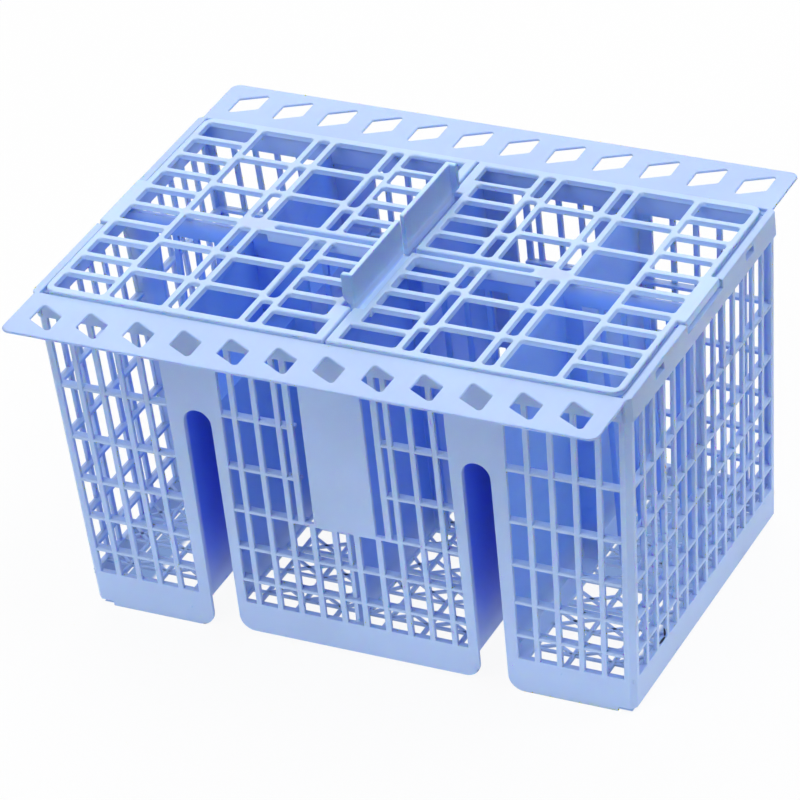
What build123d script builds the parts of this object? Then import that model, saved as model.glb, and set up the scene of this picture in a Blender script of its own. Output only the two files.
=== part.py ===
from build123d import *
from math import cos, hypot, radians, sin, tan
import os

# Cutlery basket for a dishwasher rack, in mm.
# X runs along the two flanges, Y from front to back, Z up from the feet.

# Body
flange_top = 136.0
flange_reach = 92.0
flange_thickness = 1.0
flange_corner = 3.5
flange_inset = 1.4
wall_half_depth = 66.0
foot_half_length = 110.4
end_draft = 3.3
wall = 1.6
corner_chamfer = 2.0
recess_step = 0.9
rim_height = 10.0
rim_thickness = 3.2
rim_proud = 0.3
lip_height = 6.0
lip_thickness = 2.6
ledge_depth = 1.2

# Slanted holes of the flanges
slant_pitch = 19.0
slant_width = 10.6
slant_inside = 3.6
slant_outside = 4.2
slant_side_share = 0.65

# Grille of the walls: upright bars with rungs behind them
band_top = 14.8
bar_width = 2.2
panel_sill = 55.8
rung_depth = 2.0
rung_height = 1.4
rung_levels = (24.8, 39.3, panel_sill, 74.5, 96.8)
end_columns = 14
end_post = 4.3
side_columns = 5
side_post = 4.3
side_border = 4.8
side_lean = 0.032
middle_border = 4.0
middle_pitch = 8.9
panel_half_width = 12.5
panel_gap = 3.8
panel_post = 2.6

# Channels that straddle the wires of the rack
channel_centre = 54.7
channel_lean = 1.1
channel_width = 11.2
channel_top = 97.0

# Dividers, floor and feet
divider = 1.6
divider_drop = 1.2
divider_band = 8.0
divider_bar = 2.4
divider_columns = 4
divider_border = 6.8
cross_wall_top = 130.0
floor_thickness = 1.6
floor_rib = 1.6
floor_pitch = 15.5
floor_gap = 6.0
middle_rib = 10.0
side_rib = 67.8
cross_rib = 28.2
foot_lift = 2.0
foot_end = 7.0
foot_round = 6.0

# Lids
lid_thickness = 2.2
lid_clearance = 0.4
seat_clearance = 0.3
lid_frame = 3.3
lid_end_frame = 2.6
lid_inner_frame = 2.5
lid_bar = 2.2
lid_corner = 5.0
lid_gap = 1.0
wide_column = 19.8
narrow_column = 4.8
long_column = 21.8
narrow_slot = 15.0
short_rows = 5
long_rows = 3
middle_slot = 2.7
middle_slot_end = 52.0
beam_drop = 2.9

# Grip
grip_well = 8.6
grip_half_length = 41.5
grip_height = 13.0
grip_plate = 2.0
grip_web = 1.5
grip_gap = 2.8
grip_flange = 2.6
grip_clearance = 0.3

# Hinges and rim windows
tab_width = 30.8
tab_depth = 0.9
tab_setback = 0.9
hinge_drop = 1.5
pin_radius = 0.7
pin_length = 2.0
pin_clearance = 0.06
tab_clearance = 0.4
notch_clearance = 0.3
window_place = 40.5
window_width = 7.0
window_height = 3.0
window_drop = 2.0

# Distance below which two faces count as one
touching = 0.01


def end_face(z):
    """Outer face of the right end wall at a height."""
    return foot_half_length + (z - foot_lift) * tan(radians(end_draft))


def channel_face(z, side):
    """Inner face (-1), middle (0) or outer face (1) of the right channel at a height."""
    return channel_centre + channel_lean * z / channel_top + side * channel_width / 2


inner_wall = wall_half_depth - wall
rim_outer = end_face(flange_top) + rim_proud
rim_inner = rim_outer - rim_thickness
rim_bottom = flange_top - rim_height
recess = wall_half_depth - recess_step
flange_half_length = rim_outer - flange_inset
lid_bottom = flange_top - lid_thickness / 2
lid_top = flange_top + lid_thickness / 2
lid_half_depth = recess - lid_clearance
ledge_top = lid_bottom - seat_clearance
hinge_x = rim_outer - rim_thickness / 2
hinge_z = flange_top - hinge_drop
lid_end = hinge_x - hypot(rim_thickness / 2, hinge_drop) - notch_clearance
floor_top = band_top
floor_level = floor_top - floor_thickness


def rectangle(a0, a1, b0, b1):
    return [(a0, b0), (a1, b0), (a1, b1), (a0, b1)]


def mirrored(points):
    return [(-a, b) for a, b in points]


def plate(outline, holes, push):
    """Flat plate: an outline with holes, pushed out along a vector."""
    outer = Wire.make_polygon(outline, close=True)
    inner = [Wire.make_polygon(hole, close=True) for hole in holes]
    return Solid.extrude(Face(outer, inner), Vector(*push))


def plate_y(outline, holes, y0, y1):
    shapes = [[(x, y0, z) for x, z in loop] for loop in [outline, *holes]]
    return plate(shapes[0], shapes[1:], (0, y1 - y0, 0))


def plate_z(outline, holes, z0, z1):
    shapes = [[(x, y, z0) for x, y in loop] for loop in [outline, *holes]]
    return plate(shapes[0], shapes[1:], (0, 0, z1 - z0))


def block(x0, x1, y0, y1, z0, z1):
    return plate_z(rectangle(x0, x1, y0, y1), [], z0, z1)


def pin(x, z, radius, y0, y1):
    """Six-sided bar along Y."""
    turns = [radians(30 + 60 * i) for i in range(6)]
    return plate_y([(x + radius * cos(t), z + radius * sin(t)) for t in turns], [], y0, y1)


def spread(start, stop, count, bar):
    """Equal openings between two limits, parted by bars."""
    size = (stop - start - (count - 1) * bar) / count
    return [(start + i * (size + bar), start + i * (size + bar) + size) for i in range(count)]


def channel_cut():
    """Space of the right channel, open at the foot and round at the top."""
    spring = channel_top - channel_width / 2
    half_depth = wall_half_depth + wall

    def at(x, z):
        return Vector(x, -half_depth, z)

    low_in = at(channel_face(-wall, -1), -wall)
    low_out = at(channel_face(-wall, 1), -wall)
    high_in = at(channel_face(spring, -1), spring)
    high_out = at(channel_face(spring, 1), spring)
    crown = at(channel_face(spring, 0), channel_top)
    loop = Wire([
        Edge.make_line(low_in, high_in),
        Edge.make_three_point_arc(high_in, crown, high_out),
        Edge.make_line(high_out, low_out),
        Edge.make_line(low_out, low_in),
    ])
    return Solid.extrude(Face(loop), Vector(0, 2 * half_depth, 0))


def side_holes():
    """Upright openings between the right channel and the right corner."""
    def inner(z):
        return channel_face(band_top, 1) + side_border + side_lean * (z - band_top)

    def outer(z):
        return end_face(z) - side_post

    low = spread(inner(band_top), outer(band_top), side_columns, bar_width)
    high = spread(inner(rim_bottom), outer(rim_bottom), side_columns, bar_width)
    return [
        [(a0, band_top), (a1, band_top), (b1, rim_bottom), (b0, rim_bottom)]
        for (a0, a1), (b0, b1) in zip(low, high)
    ]


def middle_holes():
    """Upright openings of the right half of the middle section, beside and below the plain panel."""
    edge = channel_face(band_top, -1) - middle_border
    sill_low = panel_sill - rung_height / 2
    sill_high = panel_sill + rung_height / 2
    post = panel_half_width + panel_gap + panel_post
    holes = [rectangle(panel_half_width, panel_half_width + panel_gap, sill_high, rim_bottom)]
    left = middle_pitch / 2 + bar_width / 2
    while left < edge - bar_width:
        right = min(left + middle_pitch - bar_width, edge)
        if left > post:
            holes.append(rectangle(left, right, band_top, rim_bottom))
        else:
            holes.append(rectangle(left, right, band_top, sill_low))
            if right > post:
                holes.append(rectangle(post, right, sill_high, rim_bottom))
        left += middle_pitch
    return holes


def long_wall():
    """Front wall, flat and open below the two channels."""
    half = [
        (0, foot_lift),
        (channel_centre, foot_lift),
        (channel_centre, 0),
        (foot_half_length - foot_end, 0),
        (foot_half_length - foot_end, foot_lift),
        (foot_half_length, foot_lift),
        (end_face(ledge_top), ledge_top),
    ]
    outline = half + mirrored(half)[:0:-1]
    holes = side_holes() + middle_holes()
    holes += [mirrored(hole) for hole in holes]
    centre = middle_pitch / 2 - bar_width / 2
    holes.append(rectangle(-centre, centre, band_top, panel_sill - rung_height / 2))
    face = plate_y(outline, holes, -wall_half_depth, -inner_wall)
    channel = channel_cut()
    face = Part() + face - [channel, mirror(channel, Plane.YZ)]
    feet = [
        edge for edge in face.edges().filter_by(Axis.Y)
        if edge.center().Z < foot_lift + touching and abs(edge.center().X) < channel_centre + channel_width
    ]
    return fillet(feet, foot_round)


def end_wall():
    """Right end wall, leaning outward."""
    section = [
        (end_face(foot_lift), foot_lift),
        (end_face(ledge_top), ledge_top),
        (end_face(ledge_top) - wall, ledge_top),
        (end_face(foot_lift) - wall, foot_lift),
    ]
    limit = wall_half_depth - end_post
    inside = end_face(band_top) - 2 * wall
    cuts = [
        block(inside, rim_outer, y0, y1, band_top, rim_bottom)
        for y0, y1 in spread(-limit, limit, end_columns, bar_width)
    ]
    return Part() + plate_y(section, [], -wall_half_depth, wall_half_depth) - cuts


def rungs():
    """Rungs on the inner faces of the front and right walls."""
    bars = []
    for level in rung_levels:
        low = level - rung_height / 2
        high = level + rung_height / 2
        section = [
            (end_face(low) - wall, low),
            (end_face(high) - wall, high),
            (end_face(level) - wall - rung_depth, high),
            (end_face(level) - wall - rung_depth, low),
        ]
        bars.append(plate_y(section, [], -inner_wall, inner_wall))
        y0, y1 = -inner_wall, rung_depth - inner_wall
        bars.append(block(channel_face(level, 1) + wall / 2, end_face(low) - wall, y0, y1, low, high))
        inside = channel_face(level, -1) - wall / 2
        start = 0 if high < panel_sill - rung_height / 2 else panel_half_width + panel_gap
        bars.append(block(start, inside, y0, y1, low, high))
    return bars


def lining():
    """Lining of the right channel, whose outer side rises above the roof to part the basket."""
    roof = channel_top + wall
    section = [
        (channel_face(floor_level, -1) - wall, floor_level),
        (channel_face(floor_level, 1) + wall, floor_level),
        (channel_face(cross_wall_top, 1) + wall, cross_wall_top),
        (channel_face(cross_wall_top, 1), cross_wall_top),
        (channel_face(roof, 1), roof),
        (channel_face(roof, -1) - wall, roof),
    ]
    return plate_y(section, [], -inner_wall, inner_wall)


def floor_holes(x0, x1, first_rib):
    """Openings between the ribs of the lattice, on both sides of the long divider."""
    edge = floor_rib / 2
    count = int((x1 - first_rib) / floor_pitch) + 1
    ribs = [x0, *[first_rib + i * floor_pitch for i in range(count)], x1]
    columns = [(a + edge, b - edge) for a, b in zip(ribs, ribs[1:]) if b - a > floor_gap]
    rows = [(divider / 2 + edge, cross_rib - edge), (cross_rib + edge, inner_wall - edge)]
    holes = [rectangle(*column, *row) for column in columns for row in rows]
    return holes + [[(x, -y) for x, y in hole] for hole in holes]


def floor():
    """Lattice floor of the right and the middle sections."""
    y = inner_wall + wall / 2
    end = end_face(floor_level) - wall
    outer = channel_face(floor_top, 1) + wall
    inner = channel_face(floor_level, -1) - wall
    holes = floor_holes(outer, end, side_rib)
    right = plate_z(rectangle(outer - wall / 2, end + wall / 2, -y, y), holes, floor_level, floor_top)
    holes = floor_holes(divider / 2, inner, middle_rib)
    holes += [mirrored(hole) for hole in holes]
    middle = plate_z(rectangle(-inner - wall / 2, inner + wall / 2, -y, y), holes, floor_level, floor_top)
    return right, middle


def dividers():
    """Long divider with its upright openings, and the partition across the middle."""
    top = lid_bottom - divider_drop
    half = [(end_face(floor_level) - wall / 2, floor_level), (end_face(top) - wall / 2, top)]
    outer = channel_face(cross_wall_top, 1) + wall + divider_border
    inner = channel_face(floor_level, -1) - wall - divider_border
    columns = spread(outer, end_face(floor_top) - wall - divider_border, divider_columns, divider_bar)
    columns += spread(divider_border, inner, divider_columns, divider_bar)
    holes = [rectangle(x0, x1, floor_top, top - divider_band) for x0, x1 in columns]
    holes += [mirrored(hole) for hole in holes]
    long = plate_y(half + mirrored(half)[::-1], holes, -divider / 2, divider / 2)
    across_top = lid_bottom - grip_web - seat_clearance
    across = block(-divider / 2, divider / 2, -inner_wall, inner_wall, floor_level, across_top)
    return long, across


def flange():
    """Front flange with its row of slanted holes, and the lip and ledge band below it."""
    count = int(2 * flange_half_length / slant_pitch)
    half = slant_width / 2
    inside = -recess - lip_thickness - slant_inside
    outside = slant_outside - flange_reach
    side = slant_side_share * (inside - outside)
    holes = []
    for i in range(count):
        x = (i - (count - 1) / 2) * slant_pitch
        holes.append([
            (x - half, inside), (x - half, inside - side),
            (x + half, outside), (x + half, outside + side),
        ])
    outline = rectangle(-flange_half_length, flange_half_length, -flange_reach, -recess)
    top = plate_z(outline, holes, flange_top - flange_thickness, flange_top)
    corners = [e for e in top.edges().filter_by(Axis.Z) if e.center().Y < touching - flange_reach]
    top = fillet(corners, flange_corner)
    x = rim_inner
    lip = block(-x, x, -recess - lip_thickness, -recess, flange_top - lip_height, flange_top)
    ledge = block(-x, x, -inner_wall, ledge_depth - inner_wall, rim_bottom, ledge_top)
    return top, lip, ledge


def rim():
    """Right rim, which carries the hinge."""
    y = wall_half_depth + rim_proud
    half = [(rim_inner, y), (rim_outer - corner_chamfer, y), (rim_outer, y - corner_chamfer)]
    outline = half + [(x, -end) for x, end in half[::-1]]
    return plate_z(outline, [], rim_bottom, flange_top)


def rim_cuts():
    """Hinge notch, pin pockets and windows of the right rim."""
    y = tab_width / 2 + tab_clearance
    swing = hypot(rim_thickness / 2, tab_depth)
    x0, x1 = lid_end, rim_outer + rim_thickness
    cuts = [block(x0, x1, -y, y, hinge_z - swing - notch_clearance, lid_top)]
    reach = tab_width / 2 + pin_length + tab_clearance
    pocket = pin_radius + pin_clearance
    cuts.append(block(hinge_x - pocket, hinge_x + pocket, -reach, reach,
                      hinge_z - pocket, hinge_z + pocket))
    top = flange_top - window_drop
    for side in (-1, 1):
        centre = side * window_place
        cuts.append(block(x0, x1, centre - window_width / 2, centre + window_width / 2,
                          top - window_height, top))
    return cuts


def basket_body():
    front = long_wall()
    end = end_wall()
    shell = front + [mirror(front, Plane.XZ), end, mirror(end, Plane.YZ)]
    corners = [
        edge for edge in shell.edges()
        if abs(abs(edge.center().Y) - wall_half_depth) < touching
        and abs(abs(edge.center().X) - end_face(edge.center().Z)) < touching
        and edge.bounding_box().size.Z > flange_top / 2
    ]
    shell = chamfer(corners, corner_chamfer)
    right, middle = floor()
    long, across = dividers()
    top, lip, ledge = flange()
    bars = rungs()
    fronts = [*bars, *[mirror(bar, Plane.YZ) for bar in bars], top, lip, ledge]
    sides = [lining(), right, rim()]
    solids = fronts + [mirror(solid, Plane.XZ) for solid in fronts]
    solids += sides + [mirror(solid, Plane.YZ) for solid in sides]
    solids += [middle, long, across]
    cuts = [channel_cut(), *rim_cuts()]
    return shell + solids - (cuts + [mirror(cut, Plane.YZ) for cut in cuts])


def lid_slots():
    """Openings of the right lid: six columns, each with its own rhythm."""
    side = lid_half_depth - lid_frame
    limit = lid_end - lid_end_frame
    patch = middle_slot / 2 + lid_bar
    start = grip_well / 2 + lid_inner_frame
    short = spread(patch, side, short_rows, lid_bar)
    long = spread(patch, side, long_rows, lid_bar)
    narrow = [
        (patch, patch + narrow_slot),
        (patch + narrow_slot + lid_bar, side - narrow_slot - lid_bar),
        (side - narrow_slot, side),
    ]
    columns = [
        (wide_column, short),
        (narrow_column, narrow),
        (long_column, long),
        (narrow_column, long),
        (long_column, spread(lid_bar / 2, side, long_rows, lid_bar)),
        (long_column, spread(lid_bar / 2, side, short_rows, lid_bar)),
    ]
    slots = []
    x = start
    for width, rows in columns:
        stop = min(x + width, limit)
        if stop - x < lid_bar:
            break
        for low, high in rows:
            inner = grip_well / 2 if x == start and low > grip_half_length else x
            slots.append(rectangle(inner, stop, low, high))
            slots.append(rectangle(inner, stop, -high, -low))
        x = stop + lid_bar
    return slots


def grip():
    """Front half of the grip, which belongs to the right lid."""
    y0 = grip_clearance - grip_half_length
    y1 = -grip_gap / 2
    x = grip_plate / 2
    top = lid_top + grip_height
    foot = lid_bottom - grip_web
    upright = block(-x, x, y0, y1, foot, top)
    web = block(-x, grip_well / 2 + lid_inner_frame, y0, y1, foot, lid_bottom)
    fin = plate_y([(-x, lid_top), (x, lid_top), (x, top), (-x - grip_flange, top),
                   (-x - grip_flange, lid_top + grip_flange)], [], y0, y0 + grip_plate)
    return upright, web, fin


def right_lid():
    y = lid_half_depth
    gap = lid_gap / 2
    well = grip_well / 2
    slit = middle_slot / 2
    outline = [
        (gap, -y), (lid_end, -y), (lid_end, y), (gap, y),
        (gap, grip_half_length), (well, grip_half_length),
        (well, slit), (middle_slot_end, slit), (middle_slot_end, -slit), (well, -slit),
        (well, -grip_half_length), (gap, -grip_half_length),
    ]
    panel = plate_z(outline, lid_slots(), lid_bottom, lid_top)
    corners = [
        edge for edge in panel.edges().filter_by(Axis.Z)
        if edge.center().X > lid_end - touching and abs(edge.center().Y) > y - touching
    ]
    panel = fillet(corners, lid_corner)
    beams = [
        block(well, middle_slot_end + lid_bar, y0, y0 + lid_bar, lid_bottom - beam_drop, lid_bottom)
        for y0 in (slit, -slit - lid_bar)
    ]
    half = tab_width / 2
    tab_end = rim_outer - tab_setback
    tab = [
        block(lid_end - lid_end_frame, tab_end, -half, half, lid_bottom, lid_top),
        block(rim_inner, tab_end, -half, half, hinge_z - tab_depth, lid_top),
        pin(hinge_x, hinge_z, pin_radius, -half - pin_length, half + pin_length),
    ]
    return Part() + panel + [*beams, *tab, *grip()]


os.makedirs("parts", exist_ok=True)
lid = right_lid()
export_step(basket_body(), "parts/basket_body.step")
export_step(lid, "parts/right_lid.step")
export_step(lid.rotate(Axis.Z, 180), "parts/left_lid.step")
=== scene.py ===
from math import cos, radians, sin, tan

import bmesh
import bpy
from mathutils import Matrix, Vector


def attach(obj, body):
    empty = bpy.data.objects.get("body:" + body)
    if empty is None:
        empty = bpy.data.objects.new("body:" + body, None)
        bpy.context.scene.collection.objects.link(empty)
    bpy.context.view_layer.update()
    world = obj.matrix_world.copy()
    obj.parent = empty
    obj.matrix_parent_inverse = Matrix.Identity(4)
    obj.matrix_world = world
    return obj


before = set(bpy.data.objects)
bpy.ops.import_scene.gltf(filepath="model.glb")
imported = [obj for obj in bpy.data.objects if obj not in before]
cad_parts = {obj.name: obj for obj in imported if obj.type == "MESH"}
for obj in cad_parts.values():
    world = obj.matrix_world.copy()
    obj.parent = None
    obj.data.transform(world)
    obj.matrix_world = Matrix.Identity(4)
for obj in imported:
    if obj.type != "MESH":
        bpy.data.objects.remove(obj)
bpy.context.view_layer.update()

MM = 0.001

# The camera, fitted to the photograph (metres, degrees)
CAMERA_PLACE = Vector((0.75405, -1.3512, 1.06921))
CAMERA_TARGET = Vector((-0.00822, -0.00036, 0.07))
CAMERA_ROLL = 6.48
CAMERA_LENS = 225.0
CAMERA_SENSOR = 36.0
CAMERA_REACH = 100.0

# Soft studio lamps: name, place, size and power, all turned to one point above the floor (metres, watts)
LAMPS = (
    ("key", (-0.5, -1.3, 1.3), 1.2, 10),
    ("fill", (0.7, 0.1, 1.6), 0.9, 11),
    ("back", (-0.9, 1.6, 1.3), 1.8, 19),
)
LAMP_TARGET = Vector((0, 0, 0.1))
WORLD_STRENGTH = 0.47

# Plastic of the body and of the lids (linear colours, metres)
BODY_COLOUR = (0.37, 0.51, 0.80)
LID_COLOUR = (0.43, 0.59, 0.87)
GLOW_RADIUS = (0.10, 0.28, 1.0)
GLOW_DEPTH = 0.0025
GLOW_SHARE = 0.5
PLASTIC_IOR = 1.49
CLOUD_SCALE = 18.0
CLOUD_DETAIL = 3.0
CLOUD_LIMITS = (0.3, 0.7)
CLOUD_TONES = (0.93, 1.05)
GRAIN_SCALE = 900.0
GRAIN_DETAIL = 2.0
GRAIN_ROUGHNESS = (0.38, 0.52)
GRAIN_BUMP = 0.08
GRAIN_DEPTH = 0.0002

# Painted shade and light: deeper blue painted inside the basket as shade and as light through the plastic,
# a paler floor painted as lit from below and dark blue painted shade in the channels, with the limits
# between which they fade (metres)
DEEP_SHADE_COLOUR = (0.19, 0.39, 0.95)
DEEP_FADE = (0.0, 0.010)
DEEP_SHADE_RISE = (0.015, 0.034)
DEEP_TOP = (0.135, 0.129)
FLOOR_LIGHT_COLOUR = (0.52, 0.68, 0.95)
FLOOR_LIGHT_RISE = (0.022, 0.015)
CHANNEL_SHADE_COLOUR = (0.07, 0.18, 0.86)
CHANNEL_SHADE_FADE = (0.001, 0.003)
CHANNEL_SHADE_RISE = (0.0, 0.05)
CHANNEL_SHADE_TOP = (0.0985, 0.0955)
CHANNEL_CENTRE = 0.0547
CHANNEL_LEAN = 0.0113
CHANNEL_SIDE = (0.0067, 0.0060)

# Painted light: stronger blue painted on the lids' upright faces, below and above their top face, for light
# that comes through the plastic (metres)
UPRIGHT_LIGHT_COLOUR = (0.48, 0.67, 1.0)
UPRIGHT_LIGHT_FADE = (0.0004, 0.0016)
LID_TOP = 0.1371

# Pale spot where the ribs of a lid cross: centre and half sizes (metres)
SPOT_PLACE = (0.0600, 0.0, LID_TOP)
SPOT_SIZE = (0.0075, 0.0045, 0.002)
SPOT_COLOUR = (0.42, 0.54, 0.79)
SPOT_EDGE = (1.0, 0.7)

# Rounding of the moulded edges (millimetres, degrees)
BODY_ROUND = 0.35
BODY_STEPS = 2
LID_ROUND = 0.65
LID_STEPS = 3
SHARP_EDGE = 35
WELD_GAP = 0.002

# Dark scuff in the right end wall: centres and half sizes of its two strokes (metres)
SCUFFS = (
    ((0.1103, -0.0397, 0.0148), (0.0006, 0.0030, 0.0008)),
    ((0.1101, -0.0370, 0.0166), (0.0007, 0.0006, 0.0021)),
)
SCUFF_EDGE = (1.0, 0.7)
SCUFF_COLOUR = (0.012, 0.014, 0.03)

# White floor of the studio: how much of it shines for the eye, and how it lights the basket near and far
STAGE_SIZE = 30
STAGE_GREY = (0.85, 0.85, 0.85)
STAGE_LIGHT = (1, 1, 1)
STAGE_WHITE = 0.92
STAGE_SHINE = 0.5
STAGE_BOUNCE = 1.8
STAGE_UNDER = 0.4
STAGE_NEAR = (0.03, 1.0)
STAGE_FAR = 0.15
FOOTPRINT = (0.108, 0.064, 0)

# Blue shade on the studio's floor below the outer sections: their back halves and their ends (metres)
SHADE_COLOUR = (0.20, 0.32, 0.62)
SHADE_BEHIND = (0.003, 0.008)
SHADE_BESIDE = (0.096, 0.099)
SHADE_SECTION = (0.0602, 0.0612)
SHADE_EDGE = (0.0006, 0.0)

# Walls that the added pieces sit on, in millimetres
WALL = 1.6
WALL_FACE = 66.0
END_FOOT = 110.4
END_FOOT_LEVEL = 2.0
END_DRAFT = 3.3

# Rungs of the grille, flush with the bars, in millimetres
RUNG_LEVELS = (24.8, 39.3, 55.8, 74.5, 96.8)
RUNG_HEIGHT = 1.3
RUNG_NOSE = 0.3
RUNG_BACKSET = 0.1
SIDE_START = 65.3
SIDE_LEAN = 0.032
SIDE_LEVEL = 14.8
SIDE_POST = 4.3
MIDDLE_EDGE = 45.3
PANEL_EDGE = 16.3
PANEL_SILL = 55.8
END_EDGE = 61.7

# Ribs of the floor, in millimetres
FLOOR_TOP = 14.7
FLOOR_RIB = 1.2
FLOOR_RIB_HEIGHT = 1.1
FLOOR_RIB_FOOT = 0.7
MIDDLE_RIBS = (0.8, 10.0, 25.5, 41.0, 47.6)
SIDE_RIBS = (62.1, 67.8, 83.3, 98.8, 109.4)
CROSS_RIBS = (0.8, 13.5, 28.2, 42.9, 57.6, 64.4)
BRACED_CELL = 8.0
BRACE_RISE = 0.6

# Ledges of the rims below the lids' ends, in millimetres
RIM_LEDGE_TOP = 134.5
RIM_LEDGE_EDGE = 133.7
RIM_LEDGE_BOTTOM = 132.2
RIM_LEDGE_START = 113.6
RIM_LEDGE_STOP = 115.6
RIM_LEDGE_NEAR = 16.2
RIM_LEDGE_FAR = 62.5

# Rounded corners of the openings, in millimetres
SLOT_CORNER = 2.0
FLANGE_CORNER = 1.2
CORNER_SHARE = 0.45
CORNER_STEPS = 5
CORNER_BEND = 0.1
EDGE_STEPS = 3
UPRIGHT_GAP = 0.001
GRIP_WELL = 6.5
FLANGE_START = 69.0


def new_material(name):
    material = bpy.data.materials.new(name)
    material.use_nodes = True
    nodes = material.node_tree.nodes
    nodes.clear()
    return material, nodes, material.node_tree.links


def moulded_plastic(name, colour, basket, glow):
    """Satin polypropylene that lets some blue light through, with painted shade and light added to its
    colour.
    """
    material, nodes, links = new_material(name)
    output = nodes.new("ShaderNodeOutputMaterial")
    shader = nodes.new("ShaderNodeBsdfPrincipled")
    links.new(shader.outputs["BSDF"], output.inputs["Surface"])
    shader.inputs["Subsurface Weight"].default_value = glow
    shader.inputs["Subsurface Radius"].default_value = GLOW_RADIUS
    shader.inputs["Subsurface Scale"].default_value = GLOW_DEPTH
    shader.inputs["IOR"].default_value = PLASTIC_IOR

    place = nodes.new("ShaderNodeTexCoord")
    cloud = nodes.new("ShaderNodeTexNoise")
    cloud.inputs["Scale"].default_value = CLOUD_SCALE
    cloud.inputs["Detail"].default_value = CLOUD_DETAIL
    links.new(place.outputs["Object"], cloud.inputs["Vector"])
    tone = nodes.new("ShaderNodeValToRGB")
    for element, position, strength in zip(tone.color_ramp.elements, CLOUD_LIMITS, CLOUD_TONES):
        element.position = position
        element.color = (*[channel * strength for channel in colour], 1)
    links.new(cloud.outputs["Fac"], tone.inputs["Fac"])
    base = tone.outputs["Color"]
    if basket:
        base = inside_shade_and_light(nodes, links, place, base)
        base = scuff(nodes, links, place, base)
    else:
        base = upright_light_and_spot(nodes, links, place, base)
    links.new(base, shader.inputs["Base Color"])

    grain = nodes.new("ShaderNodeTexNoise")
    grain.inputs["Scale"].default_value = GRAIN_SCALE
    grain.inputs["Detail"].default_value = GRAIN_DETAIL
    links.new(place.outputs["Object"], grain.inputs["Vector"])
    sheen = nodes.new("ShaderNodeMapRange")
    sheen.inputs["To Min"].default_value, sheen.inputs["To Max"].default_value = GRAIN_ROUGHNESS
    links.new(grain.outputs["Fac"], sheen.inputs["Value"])
    links.new(sheen.outputs["Result"], shader.inputs["Roughness"])
    bump = nodes.new("ShaderNodeBump")
    bump.inputs["Strength"].default_value = GRAIN_BUMP
    bump.inputs["Distance"].default_value = GRAIN_DEPTH
    links.new(grain.outputs["Fac"], bump.inputs["Height"])
    links.new(bump.outputs["Normal"], shader.inputs["Normal"])
    return material


def calculate(nodes, links, operation, first, second):
    """Maths node with one linked value and a second one, linked or plain."""
    node = nodes.new("ShaderNodeMath")
    node.operation = operation
    links.new(first, node.inputs[0])
    if isinstance(second, bpy.types.NodeSocket):
        links.new(second, node.inputs[1])
    else:
        node.inputs[1].default_value = second
    return node.outputs["Value"]


def fade(nodes, links, value, limits):
    """Smooth step from 0 to 1 between two limits."""
    step = nodes.new("ShaderNodeMapRange")
    step.interpolation_type = "SMOOTHSTEP"
    step.inputs["From Min"].default_value, step.inputs["From Max"].default_value = limits
    links.new(value, step.inputs["Value"])
    return step.outputs["Result"]


def inside_shade_and_light(nodes, links, place, base):
    """Painted shade and light inside the basket: deeper blue for the shade and for the light that comes
    through the plastic, a paler floor painted as lit from below, and dark blue painted shade in the
    channels.
    """
    split = nodes.new("ShaderNodeSeparateXYZ")
    links.new(place.outputs["Object"], split.inputs["Vector"])
    x = calculate(nodes, links, "ABSOLUTE", split.outputs["X"], 0)
    y = calculate(nodes, links, "ABSOLUTE", split.outputs["Y"], 0)
    z = split.outputs["Z"]
    lean = calculate(nodes, links, "MULTIPLY", z, tan(radians(END_DRAFT)))
    from_end = calculate(nodes, links, "SUBTRACT", lean, x)
    from_end = calculate(nodes, links, "ADD", from_end, end_face(0) * MM)
    from_front = calculate(nodes, links, "MULTIPLY", y, -1)
    from_front = calculate(nodes, links, "ADD", from_front, WALL_FACE * MM)
    depth = calculate(nodes, links, "MINIMUM", from_end, from_front)
    top = fade(nodes, links, z, DEEP_TOP)
    inside = calculate(nodes, links, "MULTIPLY", fade(nodes, links, depth, DEEP_FADE), top)
    # Painted light: paler tone painted on the basket's floor, as if lit from below.
    low = calculate(nodes, links, "MULTIPLY", inside, fade(nodes, links, z, FLOOR_LIGHT_RISE))
    base = blend(nodes, links, low, base, FLOOR_LIGHT_COLOUR)
    # Painted shade: deeper blue painted inside the basket, for shade and for light coming through the
    # plastic.
    high = calculate(nodes, links, "MULTIPLY", inside, fade(nodes, links, z, DEEP_SHADE_RISE))
    base = blend(nodes, links, high, base, DEEP_SHADE_COLOUR)
    # Painted shade: dark blue painted on the channels' inner walls.
    centre = calculate(nodes, links, "MULTIPLY", z, CHANNEL_LEAN)
    centre = calculate(nodes, links, "ADD", centre, CHANNEL_CENTRE)
    aside = calculate(nodes, links, "SUBTRACT", x, centre)
    aside = calculate(nodes, links, "ABSOLUTE", aside, 0)
    channel = fade(nodes, links, aside, CHANNEL_SIDE)
    for value, limits in ((depth, CHANNEL_SHADE_FADE), (z, CHANNEL_SHADE_RISE), (z, CHANNEL_SHADE_TOP)):
        channel = calculate(nodes, links, "MULTIPLY", channel, fade(nodes, links, value, limits))
    return blend(nodes, links, channel, base, CHANNEL_SHADE_COLOUR)


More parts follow.
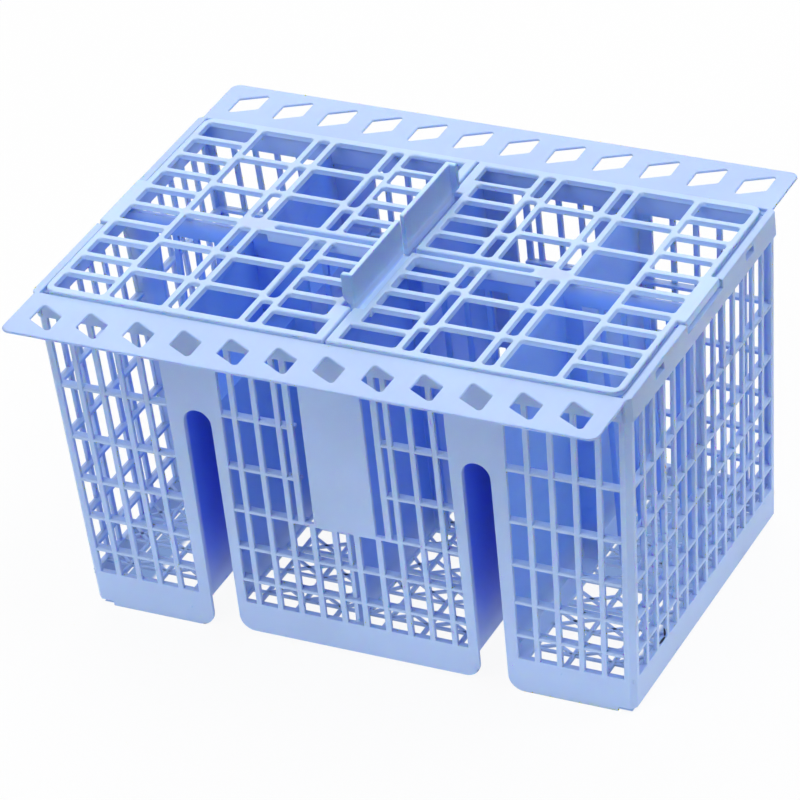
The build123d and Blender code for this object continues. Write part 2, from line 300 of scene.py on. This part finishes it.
def upright_light_and_spot(nodes, links, place, base):
    """Painted light on the lids: stronger blue painted on their upright faces for light that comes through
    the plastic, and the pale spot where their ribs cross.
    """
    split = nodes.new("ShaderNodeSeparateXYZ")
    links.new(place.outputs["Object"], split.inputs["Vector"])
    away = calculate(nodes, links, "SUBTRACT", split.outputs["Z"], LID_TOP)
    away = calculate(nodes, links, "ABSOLUTE", away, 0)
    # Painted light: stronger blue painted on the upright faces, for light coming through the plastic.
    base = blend(nodes, links, fade(nodes, links, away, UPRIGHT_LIGHT_FADE), base, UPRIGHT_LIGHT_COLOUR)
    steps = (("ABSOLUTE", None), ("SUBTRACT", SPOT_PLACE), ("DIVIDE", SPOT_SIZE))
    spot = fade(nodes, links, measure(nodes, links, place.outputs["Object"], steps), SPOT_EDGE)
    return blend(nodes, links, spot, base, SPOT_COLOUR)


def blend(nodes, links, share, base, colour):
    """Mixes a plain colour into a base colour, which is linked or plain."""
    mix = nodes.new("ShaderNodeMix")
    mix.data_type = "RGBA"
    mix.inputs["B"].default_value = (*colour, 1)
    links.new(share, mix.inputs["Factor"])
    if isinstance(base, bpy.types.NodeSocket):
        links.new(base, mix.inputs["A"])
    else:
        mix.inputs["A"].default_value = (*base, 1)
    return mix.outputs["Result"]


def measure(nodes, links, vector, steps):
    """Length of a vector after a chain of vector operations."""
    for operation, value in (*steps, ("LENGTH", None)):
        step = nodes.new("ShaderNodeVectorMath")
        step.operation = operation
        links.new(vector, step.inputs[0])
        if value:
            step.inputs[1].default_value = value
        vector = step.outputs["Value" if operation == "LENGTH" else "Vector"]
    return vector


def scuff(nodes, links, place, base):
    """Dark streak on the sill and the bar of one opening in the right end wall."""
    for centre, size in SCUFFS:
        away = measure(nodes, links, place.outputs["Object"], (("SUBTRACT", centre), ("DIVIDE", size)))
        base = blend(nodes, links, fade(nodes, links, away, SCUFF_EDGE), base, SCUFF_COLOUR)
    return base


def dress(node, material, width, steps):
    """Gives a moulded piece its plastic and its softened edges."""
    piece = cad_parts[node]
    piece.data.materials.clear()
    piece.data.materials.append(material)
    weld = piece.modifiers.new("weld", "WELD")
    weld.merge_threshold = WELD_GAP * MM
    bevel = piece.modifiers.new("soft_edges", "BEVEL")
    bevel.width = width * MM
    bevel.segments = steps
    bevel.limit_method = "ANGLE"
    bevel.angle_limit = radians(SHARP_EDGE)
    bevel.use_clamp_overlap = False


def prism(shape, loop, push):
    """Adds a closed loop of points, pushed out along a vector, to a shape."""
    lower = [shape.verts.new(point * MM) for point in loop]
    upper = [shape.verts.new((point + push) * MM) for point in loop]
    shape.faces.new(lower[::-1])
    shape.faces.new(upper)
    for i in range(len(loop)):
        shape.faces.new((lower[i - 1], lower[i], upper[i], upper[i - 1]))


def add_piece(name, shape, body, material):
    """Makes an object of a shape and lets it ride on a body."""
    bmesh.ops.recalc_face_normals(shape, faces=shape.faces)
    mesh = bpy.data.meshes.new(name)
    shape.to_mesh(mesh)
    shape.free()
    mesh.materials.append(material)
    piece = bpy.data.objects.new(name, mesh)
    bpy.context.scene.collection.objects.link(piece)
    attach(piece, body)


def end_face(level):
    """Outer face of the right end wall at a height."""
    return END_FOOT + (level - END_FOOT_LEVEL) * tan(radians(END_DRAFT))


def rung(shape, start, stop, outward):
    """Front of one rung between two points on the face of a wall."""
    half = RUNG_HEIGHT / 2
    front = -RUNG_BACKSET
    section = [
        (-WALL, -half), (front - RUNG_NOSE, -half), (front, RUNG_NOSE - half),
        (front, half - RUNG_NOSE), (front - RUNG_NOSE, half), (-WALL, half),
    ]
    prism(shape, [start + outward * depth + Vector((0, 0, z)) for depth, z in section], stop - start)


def rungs():
    """Fronts of the rungs of all four walls, between the bars."""
    shape = bmesh.new()
    for level in RUNG_LEVELS:
        inner = SIDE_START + SIDE_LEAN * (level - SIDE_LEVEL)
        outer = end_face(level) - SIDE_POST
        runs = [(-outer, -inner), (inner, outer)]
        if level < PANEL_SILL:
            runs.append((-MIDDLE_EDGE, MIDDLE_EDGE))
        else:
            runs += [(-MIDDLE_EDGE, -PANEL_EDGE), (PANEL_EDGE, MIDDLE_EDGE)]
        for side in (-1, 1):
            y = side * WALL_FACE
            for x0, x1 in runs:
                rung(shape, Vector((x0, y, level)), Vector((x1, y, level)), Vector((0, side, 0)))
            x = side * end_face(level)
            rung(shape, Vector((x, -END_EDGE, level)), Vector((x, END_EDGE, level)), Vector((side, 0, 0)))
    return shape


def floor_rib(shape, start, stop):
    """One rib of the floor between two points, square in section with a narrower foot."""
    along = (stop - start).normalized()
    across = along.cross(Vector((0, 0, 1))) * FLOOR_RIB / 2
    down = Vector((0, 0, -FLOOR_RIB_HEIGHT))
    foot = across * FLOOR_RIB_FOOT
    prism(shape, [start - across, start + across, start + foot + down, start - foot + down], stop - start)


def floor_web():
    """Cross ribs and braces between the ribs of the body's floor."""
    shape = bmesh.new()
    for side in (-1, 1):
        for ribs in (MIDDLE_RIBS, SIDE_RIBS):
            xs = sorted(side * x for x in ribs)
            for half in (-1, 1):
                ys = sorted(half * y for y in CROSS_RIBS)
                for y in ys[1:-1]:
                    floor_rib(shape, Vector((xs[0], y, FLOOR_TOP)), Vector((xs[-1], y, FLOOR_TOP)))
                for x0, x1 in zip(xs, xs[1:]):
                    for y0, y1 in zip(ys, ys[1:]):
                        if min(x1 - x0, y1 - y0) > BRACED_CELL:
                            high = y0 + BRACE_RISE * (y1 - y0)
                            floor_rib(shape, Vector((x0, high, FLOOR_TOP)), Vector((x1, y0, FLOOR_TOP)))
                            floor_rib(shape, Vector((x1, high, FLOOR_TOP)), Vector((x0, y0, FLOOR_TOP)))
    return shape


def inner_corners(node):
    """Upright inner corners of a node: lower point, upper point and the run of both sides (millimetres)."""
    mesh = bmesh.new()
    mesh.from_mesh(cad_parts[node].data)
    bmesh.ops.remove_doubles(mesh, verts=mesh.verts, dist=WELD_GAP * MM)
    corners = []
    for edge in mesh.edges:
        low, high = sorted((vert.co.copy() for vert in edge.verts), key=lambda point: point.z)
        if (high - low).to_2d().length > UPRIGHT_GAP * MM or len(edge.link_faces) != 2:
            continue
        sides = []
        for face in edge.link_faces:
            away = max((vert.co - low for vert in face.verts), key=lambda gap: gap.to_2d().length).to_2d()
            sides.append((away, face.normal.to_2d()))
        (first, first_normal), (second, second_normal) = sides
        inward = first.dot(second_normal) > CORNER_BEND * first.length
        if inward and second.dot(first_normal) > CORNER_BEND * second.length:
            corners.append((low / MM, high / MM, first / MM, second / MM))
    mesh.free()
    return corners


def corner_webs(corners, radius, edge):
    """Fillets of upright inner corners, with the rounded upper edge of the bars beside them."""
    shape = bmesh.new()
    for low, high, first, second in corners:
        bend = first.angle(second) / 2
        size = min(radius, CORNER_SHARE * tan(bend) * min(first.length, second.length))
        outward = (first.normalized() + second.normalized()).normalized()
        middle = outward * size / sin(bend)
        starts = [side.normalized() * size / tan(bend) - middle for side in (first, second)]
        arc = [starts[0].slerp(starts[1], i / CORNER_STEPS).normalized() for i in range(CORNER_STEPS + 1)]
        core = -outward * edge / sin(bend)
        turns = [radians(90 * i / EDGE_STEPS) for i in range(EDGE_STEPS + 1)]
        levels = [(0, low.z + edge)] + [(edge * (1 - cos(t)), high.z - edge * (1 - sin(t))) for t in turns]
        rings = []
        for inset, z in levels:
            points = [core] + [middle + spoke * (size + inset) for spoke in arc]
            rings.append([shape.verts.new(Vector((low.x + p.x, low.y + p.y, z)) * MM) for p in points])
        shape.faces.new(rings[0])
        shape.faces.new(rings[-1])
        for below, above in zip(rings, rings[1:]):
            for i in range(len(below)):
                shape.faces.new((below[i - 1], below[i], above[i], above[i - 1]))
    return shape


def rim_ledges():
    """Ledges of the two end rims, which close the gap at the lids' ends."""
    shape = bmesh.new()
    for side in (-1, 1):
        x0, x1 = side * RIM_LEDGE_START, side * RIM_LEDGE_STOP
        section = [(x0, RIM_LEDGE_TOP), (x1, RIM_LEDGE_TOP), (x1, RIM_LEDGE_BOTTOM), (x0, RIM_LEDGE_EDGE)]
        for y0, y1 in ((-RIM_LEDGE_FAR, -RIM_LEDGE_NEAR), (RIM_LEDGE_NEAR, RIM_LEDGE_FAR)):
            prism(shape, [Vector((x, y0, z)) for x, z in section], Vector((0, y1 - y0, 0)))
    return shape


def seen_directly(nodes, links):
    """1 for rays from the eye, also by way of a mirror or glass."""
    path = nodes.new("ShaderNodeLightPath")
    seen = calculate(nodes, links, "MAXIMUM", path.outputs["Is Camera Ray"], path.outputs["Is Glossy Ray"])
    return calculate(nodes, links, "MAXIMUM", seen, path.outputs["Is Transmission Ray"])


def stage_shade(nodes, links, place, gap, seen):
    """Share of the blue shade on the upper side of the floor."""
    split = nodes.new("ShaderNodeSeparateXYZ")
    links.new(place.outputs["Object"], split.inputs["Vector"])
    side = calculate(nodes, links, "ABSOLUTE", split.outputs["X"], 0)
    behind = fade(nodes, links, split.outputs["Y"], SHADE_BEHIND)
    shade = calculate(nodes, links, "MAXIMUM", behind, fade(nodes, links, side, SHADE_BESIDE))
    edge = fade(nodes, links, gap, SHADE_EDGE)
    section = fade(nodes, links, side, SHADE_SECTION)
    for value in (edge, section, seen):
        shade = calculate(nodes, links, "MULTIPLY", shade, value)
    face = nodes.new("ShaderNodeNewGeometry")
    return calculate(nodes, links, "SUBTRACT", shade, face.outputs["Backfacing"])


def stage_bounce(nodes, links, gap):
    """Strength of the floor's light on the basket: low below it, high near it, low far away."""
    bounce = nodes.new("ShaderNodeFloatCurve")
    points = bounce.mapping.curves[0].points
    points[0].location = (0, STAGE_UNDER)
    points[1].location = (1, STAGE_FAR)
    points.new(*STAGE_NEAR)
    bounce.mapping.update()
    links.new(gap, bounce.inputs["Value"])
    return calculate(nodes, links, "MULTIPLY", bounce.outputs["Value"], STAGE_BOUNCE)


def white_floor():
    """Floor that is white for the eye and keeps a soft shadow."""
    bpy.ops.mesh.primitive_plane_add(size=STAGE_SIZE)
    floor = bpy.context.object
    floor.name = "floor"
    material, nodes, links = new_material("white_floor")
    place = nodes.new("ShaderNodeTexCoord")
    steps = (("ABSOLUTE", None), ("SUBTRACT", FOOTPRINT), ("MAXIMUM", (0, 0, 0)))
    gap = measure(nodes, links, place.outputs["Object"], steps)
    seen = seen_directly(nodes, links)

    shine = nodes.new("ShaderNodeEmission")
    shade = stage_shade(nodes, links, place, gap, seen)
    links.new(blend(nodes, links, shade, STAGE_LIGHT, SHADE_COLOUR), shine.inputs["Color"])
    level = nodes.new("ShaderNodeMix")
    level.inputs["B"].default_value = 1.0
    links.new(seen, level.inputs["Factor"])
    links.new(stage_bounce(nodes, links, gap), level.inputs["A"])
    links.new(level.outputs["Result"], shine.inputs["Strength"])

    matt = nodes.new("ShaderNodeBsdfDiffuse")
    matt.inputs["Color"].default_value = (*STAGE_GREY, 1)
    share = nodes.new("ShaderNodeMapRange")
    share.inputs["To Min"].default_value = STAGE_SHINE
    share.inputs["To Max"].default_value = STAGE_WHITE
    links.new(seen, share.inputs["Value"])
    mix = nodes.new("ShaderNodeMixShader")
    links.new(share.outputs["Result"], mix.inputs["Fac"])
    links.new(matt.outputs["BSDF"], mix.inputs[1])
    links.new(shine.outputs["Emission"], mix.inputs[2])
    output = nodes.new("ShaderNodeOutputMaterial")
    links.new(mix.outputs["Shader"], output.inputs["Surface"])
    floor.data.materials.append(material)


def white_world():
    """Even light from all round that is white for the eye."""
    world = bpy.data.worlds.new("studio")
    bpy.context.scene.world = world
    world.use_nodes = True
    nodes = world.node_tree.nodes
    links = world.node_tree.links
    nodes.clear()
    level = nodes.new("ShaderNodeMapRange")
    level.inputs["To Min"].default_value = WORLD_STRENGTH
    level.inputs["To Max"].default_value = 1.0
    links.new(seen_directly(nodes, links), level.inputs["Value"])
    air = nodes.new("ShaderNodeBackground")
    air.inputs["Color"].default_value = (1, 1, 1, 1)
    links.new(level.outputs["Result"], air.inputs["Strength"])
    output = nodes.new("ShaderNodeOutputWorld")
    links.new(air.outputs["Background"], output.inputs["Surface"])


def soft_light(name, place, size, power):
    lamp = bpy.data.lights.new(name, "AREA")
    lamp.size = size
    lamp.energy = power
    light = bpy.data.objects.new(name, lamp)
    bpy.context.scene.collection.objects.link(light)
    light.location = place
    light.rotation_euler = (Vector(place) - LAMP_TARGET).to_track_quat("Z", "Y").to_euler()


def camera():
    lens = bpy.data.cameras.new("camera")
    lens.lens = CAMERA_LENS
    lens.sensor_width = CAMERA_SENSOR
    lens.clip_end = CAMERA_REACH
    eye = bpy.data.objects.new("camera", lens)
    bpy.context.scene.collection.objects.link(eye)
    turn = (CAMERA_PLACE - CAMERA_TARGET).to_track_quat("Z", "Y").to_matrix().to_4x4()
    roll = Matrix.Rotation(radians(-CAMERA_ROLL), 4, "Z")
    eye.matrix_world = Matrix.Translation(CAMERA_PLACE) @ turn @ roll
    bpy.context.scene.camera = eye


body_plastic = moulded_plastic("body_plastic", BODY_COLOUR, basket=True, glow=GLOW_SHARE)
lid_plastic = moulded_plastic("lid_plastic", LID_COLOUR, basket=False, glow=GLOW_SHARE)
thin_body = moulded_plastic("body_plastic_thin", BODY_COLOUR, basket=True, glow=0)
thin_lid = moulded_plastic("lid_plastic_thin", LID_COLOUR, basket=False, glow=0)
dress("basket_body", body_plastic, BODY_ROUND, BODY_STEPS)
dress("left_lid", lid_plastic, LID_ROUND, LID_STEPS)
dress("right_lid", lid_plastic, LID_ROUND, LID_STEPS)

add_piece("rung_fronts", rungs(), "basket", thin_body)
add_piece("floor_web", floor_web(), "basket", thin_body)
add_piece("rim_ledges", rim_ledges(), "basket", thin_body)
holes = [corner for corner in inner_corners("basket_body") if abs(corner[0].y) > FLANGE_START]
webs = corner_webs(holes, FLANGE_CORNER, BODY_ROUND)
add_piece("flange_corners", webs, "basket", thin_body)
for lid in ("left_lid", "right_lid"):
    slots = [corner for corner in inner_corners(lid) if abs(corner[0].x) > GRIP_WELL]
    webs = corner_webs(slots, SLOT_CORNER, LID_ROUND)
    add_piece(lid + "_corners", webs, lid, thin_lid)

white_floor()
white_world()
for lamp in LAMPS:
    soft_light(*lamp)
camera()
bpy.context.scene.view_settings.view_transform = "Standard"
